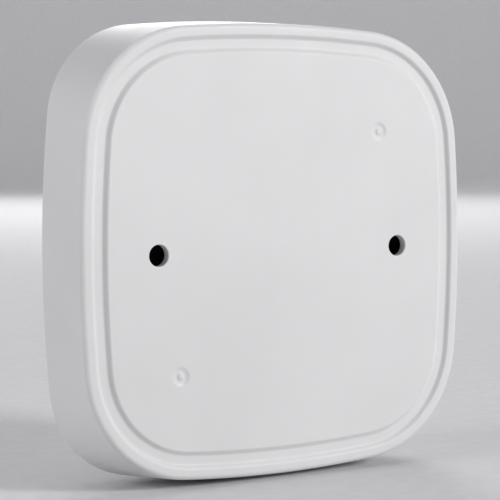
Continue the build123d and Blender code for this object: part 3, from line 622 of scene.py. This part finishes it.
def hook(turn):
    """A bayonet hook: a wall, a lip that reaches in over the head's lug, and a stop at its locked end."""
    inner, wall, outer = HOOK_INNER, HOOK_WALL, HOOK_OUTER
    root, lip, top = WALL - SUNK, HOOK_LIP, HOOK_TOP
    half, stop = HOOK_HALF, STOP_HALF
    made = block("hook", (wall, root, -half), (outer, top, half))
    only(made)
    bpy.ops.object.mode_set(mode="EDIT")
    bpy.ops.mesh.select_all(action="SELECT")
    bpy.ops.mesh.bisect(plane_co=(0, lip, 0), plane_no=(0, 1, 0))
    bpy.ops.mesh.select_mode(type="FACE")
    bpy.ops.mesh.select_all(action="DESELECT")
    mesh = bmesh.from_edit_mesh(made.data)
    for face in mesh.faces:
        face.select = face.normal.x < -0.9 and face.calc_center_median().y > lip
    bmesh.update_edit_mesh(made.data)
    bpy.ops.mesh.extrude_region_move(TRANSFORM_OT_translate={"value": (inner - wall, 0, 0)})
    bpy.ops.mesh.select_all(action="SELECT")
    bpy.ops.mesh.dissolve_limited(angle_limit=math.radians(1))
    bpy.ops.mesh.normals_make_consistent(inside=False)
    in_corner = Vector((wall, lip))
    select_edges(made, lambda *ends: all((end.xy - in_corner).length > 0.01 * MM for end in ends))
    bpy.ops.mesh.bevel(offset=0.25 * MM, segments=3, affect="EDGES")
    bpy.ops.object.mode_set(mode="OBJECT")
    made.data.transform(Matrix.Rotation(-math.radians(turn + HOOK_LEAD), 4, "Y"))
    stop_low = (inner + 0.4 * MM, root, -stop)
    stop_high = (outer - 0.5 * MM, (lip + top) / 2, stop)
    return combine(made, block("hook_stop", stop_low, stop_high, turn + STOP_LEAD, 0.2 * MM), "UNION")


def fork_post(side):
    """One of the two posts that hold the power shuttle's peg while the head turns."""
    near, far = sorted((side * FORK_NEAR, side * FORK_FAR))
    low = (near, WALL - SUNK, FORK_Z - FORK_HALF)
    high = (far, FORK_TOP, FORK_Z + FORK_HALF)
    return block("fork_post", low, high, 0, 0.3 * MM)


def rib_frame():
    """The low frame that stiffens the base's floor."""
    across, up = RIB_HALF
    rib = block("rib_frame", (-across, WALL - SUNK, -up), (across, WALL + RIB_HEIGHT, up))
    across, up = across - RIB_THICK, up - RIB_THICK
    return combine(rib, block("rib_hollow", (-across, 0, -up), (across, 5 * MM, up)))


def on_hole_edge(a, b):
    """Edges of the screw holes at the mounting face and inside."""
    for point in (a, b):
        from_axis = math.hypot(abs(point.x) - HOLE_REACH, point.z)
        if abs(from_axis - HOLE_RADIUS) > 0.01 * MM:
            return False
    return abs(a.y - b.y) < 1e-7


def rear_base():
    """The wall base, one moulding: the shell, its holes, gate marks and notch, then what stands inside."""
    shell = stack("rear_base_shell", base_rings())
    divide_flats(
        shell,
        across=[side * x for x in BAND_EDGES for side in (1, -1)],
        up=[side * z for z in (MIDDLE_BAND, *GATE_BAND) for side in (1, -1)],
        least_area=20 * MM**2,
    )
    for side in (1, -1):
        combine(shell, cylinder("screw_hole", (side * HOLE_REACH, 0), HOLE_RADIUS, -1 * MM, WALL + 1 * MM))
        gate_mark(shell, (side * GATE_AT, side * GATE_AT))
    notch_low = (-NOTCH_HALF, base_high.y - NOTCH_DEPTH, base_low.z - 1 * MM)
    notch_high = (NOTCH_HALF, base_high.y + 3 * MM, base_low.z + 4 * MM)
    combine(shell, block("notch", notch_low, notch_high, 0, 0.8 * MM))
    for turn in HOOK_ANGLES:
        combine(shell, hook(turn), "UNION")
    for side in (1, -1):
        combine(shell, fork_post(side), "UNION")
    combine(shell, rib_frame(), "UNION")
    soften(shell, on_hole_edge, 0.18 * MM)
    stand_for(smooth(shell), "rear_base")


rear_base()

# ---------------------------------------------------------------- the front cover
COVER_ROUND = 7.0 * MM
COVER_EDGE_ROUND = 0.4 * MM
INLETS = 9
INLET_PITCH = 6.0 * MM
INLET_LENGTH = 7.2 * MM
INLET_WIDTH = 2.2 * MM
INLET_MIDDLE = 23.6 * MM
GRILLE_ROWS = 5
GRILLE_PITCH = 3.4 * MM
GRILLE_SLOT = 1.6 * MM
GRILLE_RADIUS = 9.5 * MM
BOSS_AT = 31.5 * MM
BOSS_RADIUS = 3.0 * MM
BOSS_PILOT = 1.1 * MM
BOSS_HEIGHT = 12.8 * MM
BUTTON_RADIUS = 8.5 * MM
BUTTON_GAP = 0.3 * MM
PIPE_RADIUS = 1.5 * MM
COLLAR_THICK = 0.8 * MM
FACE = cover_high.y
THROUGH = 3 * MM  # how far a drill runs past the face on each side


def middle_of(box):
    """The middle of a box across and up."""
    return ((box[0].x + box[1].x) / 2, (box[0].z + box[1].z) / 2)


button_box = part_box("test_button")
pipe_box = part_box("light_pipe")
BUTTON_CENTRE = middle_of(button_box)
PIPE_CENTRE = middle_of(pipe_box)
HORN_CENTRE = middle_of(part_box("sounder_horn"))


def cover_outline(half):
    """The cover's section with a given half width: the outlines blend down the flank."""
    if half < FACE_OUTLINE[0]:
        return inset(FACE_OUTLINE, FACE_OUTLINE[0] - half)
    share = (half - FACE_OUTLINE[0]) / (COVER_OUTLINE[0] - FACE_OUTLINE[0])
    return between(FACE_OUTLINE, COVER_OUTLINE, share)


def flank_slope(wall):
    """How far the cover's flank leans in, on its skin or on the skin inside by a wall."""
    return math.atan2(COVER_OUTLINE[0] - FACE_OUTLINE[0], cover_high.y - wall - cover_low.y)


def dome_lines(wall, steps):
    """Half width and depth from the cover's low edge to its face, on its skin or inside it by a wall."""
    slope = flank_slope(wall)
    low, top = cover_low.y, cover_high.y - wall
    radius = COVER_ROUND - wall
    lines = []
    for share in (0.0, 0.3, 0.6):
        depth = low + (top - low) * share
        lines.append((COVER_OUTLINE[0] - wall - (depth - low) * math.tan(slope), depth))
    tangent = radius * math.tan((math.pi / 2 - slope) / 2)
    centre = (FACE_OUTLINE[0] - wall - tangent, top - radius)
    return lines + arc(centre, radius, math.degrees(slope), 90, steps)


def cover_rings():
    """From the inside of the face down the inner skin, round the low edge, and up over the dome."""
    low, edge = cover_low.y, COVER_EDGE_ROUND
    inner = dome_lines(WALL, 8)[1:]
    rings = [(inset(cover_outline(half + WALL), WALL), depth) for half, depth in reversed(inner)]
    for by, depth in arc((WALL - edge, low + edge), edge, 0, -90, 3):
        rings.append((inset(COVER_OUTLINE, by), depth))
    for by, depth in arc((edge, low + edge), edge, 270, 180, 3):
        lean = (depth - low) * math.tan(flank_slope(0))
        rings.append((inset(COVER_OUTLINE, by + lean), depth))
    return rings + [(cover_outline(half), depth) for half, depth in dome_lines(0, 12)[1:]]


def slot_cutter(name, length, width, thick):
    """A bar with round ends, lying along the depth: what cuts one slot."""
    deselect()
    bpy.ops.mesh.primitive_cube_add(size=1)
    piece = bpy.context.object
    piece.name = name
    piece.scale = (thick, length, width)
    bpy.ops.object.transform_apply(scale=True)
    bpy.ops.object.mode_set(mode="EDIT")
    select_edges(piece, lambda a, b: abs(a.x - b.x) > thick / 2)
    bpy.ops.mesh.bevel(offset=width * 0.499, segments=8, affect="EDGES")
    bpy.ops.object.mode_set(mode="OBJECT")
    return piece


def copy_of(piece, change):
    """A copy with its own mesh, moved or turned."""
    made = piece.copy()
    made.data = piece.data.copy()
    bpy.context.scene.collection.objects.link(made)
    made.data.transform(change)
    return made


def cut_inlets(cover, turn):
    """Cut the row of smoke inlets in two opposite flanks, one bar for each pair."""
    bar = slot_cutter("inlet_cutter", INLET_LENGTH, INLET_WIDTH, 2.2 * COVER_OUTLINE[0])
    bars = []
    for row in range(INLETS):
        height = INLET_PITCH * (row - (INLETS - 1) / 2)
        raised = Matrix.Translation((0, INLET_MIDDLE, height))
        bars.append(copy_of(bar, Matrix.Rotation(math.radians(turn), 4, "Y") @ raised))
    bpy.data.objects.remove(bar)
    combine(cover, joined(bars, "inlet_cutters"))


def cut_grille(cover):
    """Cut the sounder's slots, each as long as a circle round them allows."""
    bars = []
    for row in range(GRILLE_ROWS):
        height = GRILLE_PITCH * (row - (GRILLE_ROWS - 1) / 2)
        length = 2 * math.sqrt(GRILLE_RADIUS**2 - height**2)
        bar = slot_cutter("grille_cutter", length, GRILLE_SLOT, 2 * THROUGH)
        bar.data.transform(Matrix.Rotation(math.pi / 2, 4, "Z"))
        bar.data.transform(Matrix.Translation((HORN_CENTRE[0], FACE, HORN_CENTRE[1] + height)))
        bars.append(bar)
    combine(cover, joined(bars, "grille_cutters"))


def screw_boss(centre):
    """A round boss under the skin, with its pilot hole."""
    low = cover_low.y + 1.5 * MM
    rings = [(BOSS_PILOT, low + 8 * MM), (BOSS_PILOT, low)]
    rings += [(BOSS_RADIUS, low), (BOSS_RADIUS, low + BOSS_HEIGHT)]
    return stack("boss", rings, 32, centre)


def collar(centre, inner, height):
    """A ring under the skin that centres what stands below it."""
    top = FACE - WALL
    ring = cylinder("collar", centre, inner + COLLAR_THICK, top - height, top + 0.5 * MM, 96)
    return combine(ring, cylinder("collar_bore", centre, inner, top - height - 1 * MM, top + 1 * MM, 96))


def front_cover():
    """The vented front shell, with its bosses and collars."""
    cover = stack("front_cover_shell", cover_rings())
    for turn in (0, 90):
        cut_inlets(cover, turn)
    drilled = (FACE - THROUGH, FACE + THROUGH)
    combine(cover, cylinder("button_hole", BUTTON_CENTRE, BUTTON_RADIUS + BUTTON_GAP, *drilled, 96))
    combine(cover, cylinder("pipe_hole", PIPE_CENTRE, PIPE_RADIUS + 0.05 * MM, *drilled, 32))
    cut_grille(cover)
    for x in (BOSS_AT, -BOSS_AT):
        for z in (BOSS_AT, -BOSS_AT):
            combine(cover, screw_boss((x, z)), "UNION")
    combine(cover, collar((0.0, 12.0 * MM), 21.8 * MM, 2.8 * MM), "UNION")
    combine(cover, collar(HORN_CENTRE, 11.7 * MM, 2.4 * MM), "UNION")
    combine(cover, collar(BUTTON_CENTRE, BUTTON_RADIUS + 1.3 * MM, 4.4 * MM), "UNION")
    stand_for(smooth(cover), "front_cover")


front_cover()

# ---------------------------------------------------------------- the test button and its spring
CAP_TOP = button_box[1].y
CAP_THICK = 1.6 * MM
CAP_ROUND = 0.8 * MM
CAP_DISH = 0.35 * MM
CAP_BORDER = 1.6 * MM  # flat round the dish
LIP_TOP = FACE - WALL - BUTTON_GAP
LIP_LOW = LIP_TOP - 1.3 * MM
LIP_CHAMFER = 0.15 * MM
STEM = 1.7 * MM
WIRE = 0.25 * MM
TURNS = 6


def button_rings():
    """From the foot of the stem up inside the cap, out under its lip, and over its dished top."""
    foot = button_box[0].y
    under = CAP_TOP - CAP_THICK
    inner = BUTTON_RADIUS - 1.2 * MM
    outer = BUTTON_RADIUS + 1.0 * MM
    border = BUTTON_RADIUS - CAP_BORDER
    rings = [(STEM - 0.3 * MM, foot), (STEM, foot + 0.3 * MM), (STEM, under - 0.4 * MM)]
    rings += [(STEM + 0.4 * MM, under), (inner - 0.5 * MM, under), (inner, under - 0.5 * MM)]
    rings += [(inner, LIP_LOW), (outer - LIP_CHAMFER, LIP_LOW), (outer, LIP_LOW + LIP_CHAMFER)]
    rings += [(outer, LIP_TOP - LIP_CHAMFER), (outer - LIP_CHAMFER, LIP_TOP), (BUTTON_RADIUS, LIP_TOP)]
    rings += arc((BUTTON_RADIUS - CAP_ROUND, CAP_TOP - CAP_ROUND), CAP_ROUND, 0, 90, 8)
    dish = eased((border, CAP_TOP), (2.0 * MM, CAP_TOP - CAP_DISH), 10)
    return rings + [(border, CAP_TOP)] + dish + [(0.5 * MM, CAP_TOP - CAP_DISH)]


def button_spring():
    """A coil of round wire at an even pitch; it keeps this shape, though the real one flattens towards its
    foot as the button goes down.
    """
    low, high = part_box("button_spring")
    length = high.y - low.y
    deselect()
    bpy.ops.mesh.primitive_circle_add(vertices=16, radius=WIRE)
    spring = bpy.context.object
    spring.name = "button_spring_coil"
    spring.data.transform(Matrix.Translation(((high.x - low.x) / 2 - WIRE, low.y + WIRE, 0)))
    only(spring)
    coil = spring.modifiers.new("coil", "SCREW")
    coil.axis = "Y"
    coil.screw_offset = (length - 2 * WIRE) / TURNS
    coil.iterations = TURNS
    coil.steps = 40
    coil.render_steps = 40
    coil.use_normal_calculate = True
    bpy.ops.object.modifier_apply(modifier=coil.name)
    bpy.ops.object.mode_set(mode="EDIT")
    close_open_edges(spring)
    bpy.ops.mesh.select_all(action="SELECT")
    bpy.ops.mesh.normals_make_consistent(inside=False)
    bpy.ops.object.mode_set(mode="OBJECT")
    spring.data.transform(Matrix.Translation((BUTTON_CENTRE[0], 0, BUTTON_CENTRE[1])))
    stand_for(smooth(spring), "button_spring")
    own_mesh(spring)


stand_for(smooth(stack("test_button_cap", button_rings(), 96, BUTTON_CENTRE)), "test_button")
button_spring()

# ---------------------------------------------------------------- the light pipe and the insect screen
PIPE_FLANGE = 0.8 * MM
PIPE_TIP_ROUND = 0.4 * MM
SCREEN_WIRE = 0.36 * MM
SCREEN_COLUMNS = 108
SCREEN_ROWS = 11


def light_pipe():
    """The clear rod over the status lamp, with the flange that stops it under the face."""
    low, top = pipe_box[0].y, pipe_box[1].y
    under = FACE - WALL
    flange = PIPE_RADIUS + PIPE_FLANGE
    rings = [(PIPE_RADIUS, low), (PIPE_RADIUS, under - 1.2 * MM), (flange, under - 1.2 * MM)]
    rings += [(flange, under), (PIPE_RADIUS, under)]
    rings += arc((PIPE_RADIUS - PIPE_TIP_ROUND, top - PIPE_TIP_ROUND), PIPE_TIP_ROUND, 0, 90, 6)
    stand_for(smooth(stack("light_pipe_lens", rings, 48, PIPE_CENTRE)), "light_pipe")


def insect_screen():
    """A round fence of crossed wires about the smoke chamber."""
    low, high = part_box("insect_screen")
    radius = (high.x - low.x) / 2 - SCREEN_WIRE / 2
    foot = low.y + SCREEN_WIRE / 2
    span = high.y - low.y - SCREEN_WIRE
    rings = [(radius, foot + span * row / SCREEN_ROWS) for row in range(SCREEN_ROWS + 1)]
    screen = stack("insect_screen_mesh", rings, SCREEN_COLUMNS, (0.0, (low.z + high.z) / 2), ends=False)
    only(screen)
    wires = screen.modifiers.new("wires", "WIREFRAME")
    wires.thickness = SCREEN_WIRE
    wires.use_even_offset = True
    wires.use_boundary = True
    bpy.ops.object.modifier_apply(modifier=wires.name)
    stand_for(screen, "insect_screen")


light_pipe()
insect_screen()

# ---------------------------------------------------------------- the pieces inside
# how far the sharp edges of each piece are rounded, from its moulding, pressing or grinding
EDGE_ROUNDS = {
    "chassis": 0.2 * MM,
    "power_shuttle": 0.15 * MM,
    "switch_knob": 0.25 * MM,
    "switch_plunger": 0.2 * MM,
    "chamber_base": 0.12 * MM,
    "chamber_labyrinth": 0.1 * MM,
    "sounder_horn": 0.2 * MM,
    "circuit_board": 0.06 * MM,
    "microcontroller": 0.04 * MM,
    "driver_chip": 0.05 * MM,
    "tact_switch": 0.12 * MM,
    "power_switch": 0.15 * MM,
    "boost_inductor": 0.15 * MM,
    "storage_capacitor": 0.04 * MM,
    "chip_parts": 0.07 * MM,
    "status_led": 0.08 * MM,
    "ir_led": 0.06 * MM,
    "photodiode": 0.06 * MM,
    "sensor_shield": 0.08 * MM,
    "piezo_disc": 0.03 * MM,
    "piezo_ceramic": 0.03 * MM,
    "disc_seal": 0.2 * MM,
    "sounder_contacts": 0.06 * MM,
    "board_screws": 0.08 * MM,
    "cover_screws": 0.08 * MM,
    "battery_cell": 0.2 * MM,
    "battery_sleeve": 0.04 * MM,
    "battery_tabs": 0.04 * MM,
    "battery_pad": 0.5 * MM,
}
WELD = 0.002 * MM


def rounded_copy(node, edge_round):
    """A copy of a CAD node whose shape is right, with its sharp edges rounded and its curves smooth."""
    original = frame["nodes"][node]
    made = original.copy()
    made.parent = None
    made.data = original.data.copy()
    made.name = node + "_rounded"
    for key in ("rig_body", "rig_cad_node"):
        if key in made:
            del made[key]
    bpy.context.scene.collection.objects.link(made)
    only(made)
    bpy.ops.object.mode_set(mode="EDIT")
    bpy.ops.mesh.select_all(action="SELECT")
    bpy.ops.mesh.remove_doubles(threshold=WELD)
    bpy.ops.mesh.dissolve_limited(angle_limit=math.radians(0.2))
    bpy.ops.object.mode_set(mode="OBJECT")
    edges = made.modifiers.new("edges", "BEVEL")
    edges.width = edge_round
    edges.segments = 2
    edges.limit_method = "ANGLE"
    edges.angle_limit = math.radians(40)
    edges.use_clamp_overlap = True
    edges.harden_normals = False
    bpy.ops.object.modifier_apply(modifier=edges.name)
    return smooth(made)


for node, edge_round in EDGE_ROUNDS.items():
    stand_for(rounded_copy(node, edge_round), node)

# ---------------------------------------------------------------- the studio
CAMERA_AZIMUTH = math.radians(-33.34)
CAMERA_ELEVATION = math.radians(3.69)
CAMERA_ROLL = math.radians(-0.15)
CAMERA_DISTANCE = 375.2 * MM
CAMERA_LENS = 127.97
AIM_LEFT = 7.0 * MM  # the lens looks this far to the left of the face's centre
AIM_UP = 0.1 * MM


def studio_surface(name, colour):
    """Matt seamless paper: a pale even field with a barely visible fibre."""
    material, shader, place = new_material(name, {"Roughness": 0.9})
    fibre = noise(material, place, 4 * MM, 3.0)
    plug(material, tint(material, fibre, colour, "#DEDEE0"), shader, "Base Color")
    bump(material, shader, fibre, 0.05 * MM, 0.2)
    return material


FLOOR_RADIUS = 1.9
SWEEP_RADIUS = 0.8
BACKDROP_TOP = 2.2


def studio_sweep():
    """A round floor that curves up into a backdrop on every side."""
    deselect()
    bpy.ops.mesh.primitive_circle_add(
        vertices=128, radius=FLOOR_RADIUS, fill_type="NGON", location=(0, 0, cad_low.z)
    )
    sweep = bpy.context.object
    sweep.name = "studio_sweep"
    bpy.ops.object.transform_apply(location=True)
    bpy.ops.object.mode_set(mode="EDIT")
    bpy.ops.mesh.select_mode(type="EDGE")
    bpy.ops.mesh.select_non_manifold()
    turn_up = arc((FLOOR_RADIUS, SWEEP_RADIUS), SWEEP_RADIUS, -90, 0, 16)
    for radius, rise in turn_up[1:] + [(FLOOR_RADIUS + SWEEP_RADIUS, BACKDROP_TOP)]:
        bpy.ops.mesh.extrude_region()
        mesh = bmesh.from_edit_mesh(sweep.data)
        for point in [vertex for vertex in mesh.verts if vertex.select]:
            out = Vector((point.co.x, point.co.y)).normalized() * radius
            point.co = (out.x, out.y, cad_low.z + rise)
        bmesh.update_edit_mesh(sweep.data)
    bpy.ops.object.mode_set(mode="OBJECT")
    bpy.ops.object.shade_smooth_by_angle(angle=math.radians(30))
    sweep.data.materials.append(studio_surface("seamless_paper", "#D0D0D2"))


studio_sweep()


def softbox(name, place, aim, size, watts, colour="#FFFFFF"):
    """A square area light that looks at a point."""
    light = bpy.data.lights.new(name, "AREA")
    light.shape = "SQUARE"
    light.size = size
    light.energy = watts
    light.color = linear(colour)[:3]
    lamp = bpy.data.objects.new(name, light)
    bpy.context.scene.collection.objects.link(lamp)
    lamp.location = place
    lamp.rotation_euler = (Vector(aim) - Vector(place)).to_track_quat("-Z", "Y").to_euler()
    return lamp


softbox("key_softbox", (0.9, -1.28, 0.6), (0, 0, 0), 0.45, 19)
softbox("side_softbox", (-1.35, 0.15, 0.5), (0, 0, 0), 0.7, 7.3)
softbox("back_softbox", (0.7, 1.4, 0.8), (0, 0, 0), 0.8, 10)
softbox("backdrop_softbox", (0.6, 0.9, 1.5), (1.7, 2.5, 0.9), 1.2, 7)


def studio_world():
    """A faint even light from above the sweep."""
    world = bpy.data.worlds.new("studio")
    world.use_nodes = True
    background = world.node_tree.nodes["Background"]
    background.inputs["Color"].default_value = linear("#F2F3F5")
    background.inputs["Strength"].default_value = 0.12
    bpy.context.scene.world = world


def studio_camera():
    """The camera, placed by its two angles and distance, and aimed a little to one side of the face."""
    optics = bpy.data.cameras.new("studio_camera")
    optics.lens = CAMERA_LENS
    optics.clip_start = 0.01
    camera = bpy.data.objects.new("studio_camera", optics)
    bpy.context.scene.collection.objects.link(camera)
    level = math.cos(CAMERA_ELEVATION)
    across, away = math.sin(CAMERA_AZIMUTH), math.cos(CAMERA_AZIMUTH)
    back = Vector((across * level, -away * level, math.sin(CAMERA_ELEVATION)))
    camera.location = back * CAMERA_DISTANCE
    aim = Vector((-away * AIM_LEFT, -across * AIM_LEFT, AIM_UP))
    turned = (aim - camera.location).to_track_quat("-Z", "Y").to_matrix().to_4x4()
    rolled = Matrix.Rotation(CAMERA_ROLL, 4, "Z")
    camera.matrix_world = Matrix.Translation(camera.location) @ turned @ rolled
    bpy.context.scene.camera = camera


studio_world()
studio_camera()
bpy.context.scene.view_settings.view_transform = "Standard"
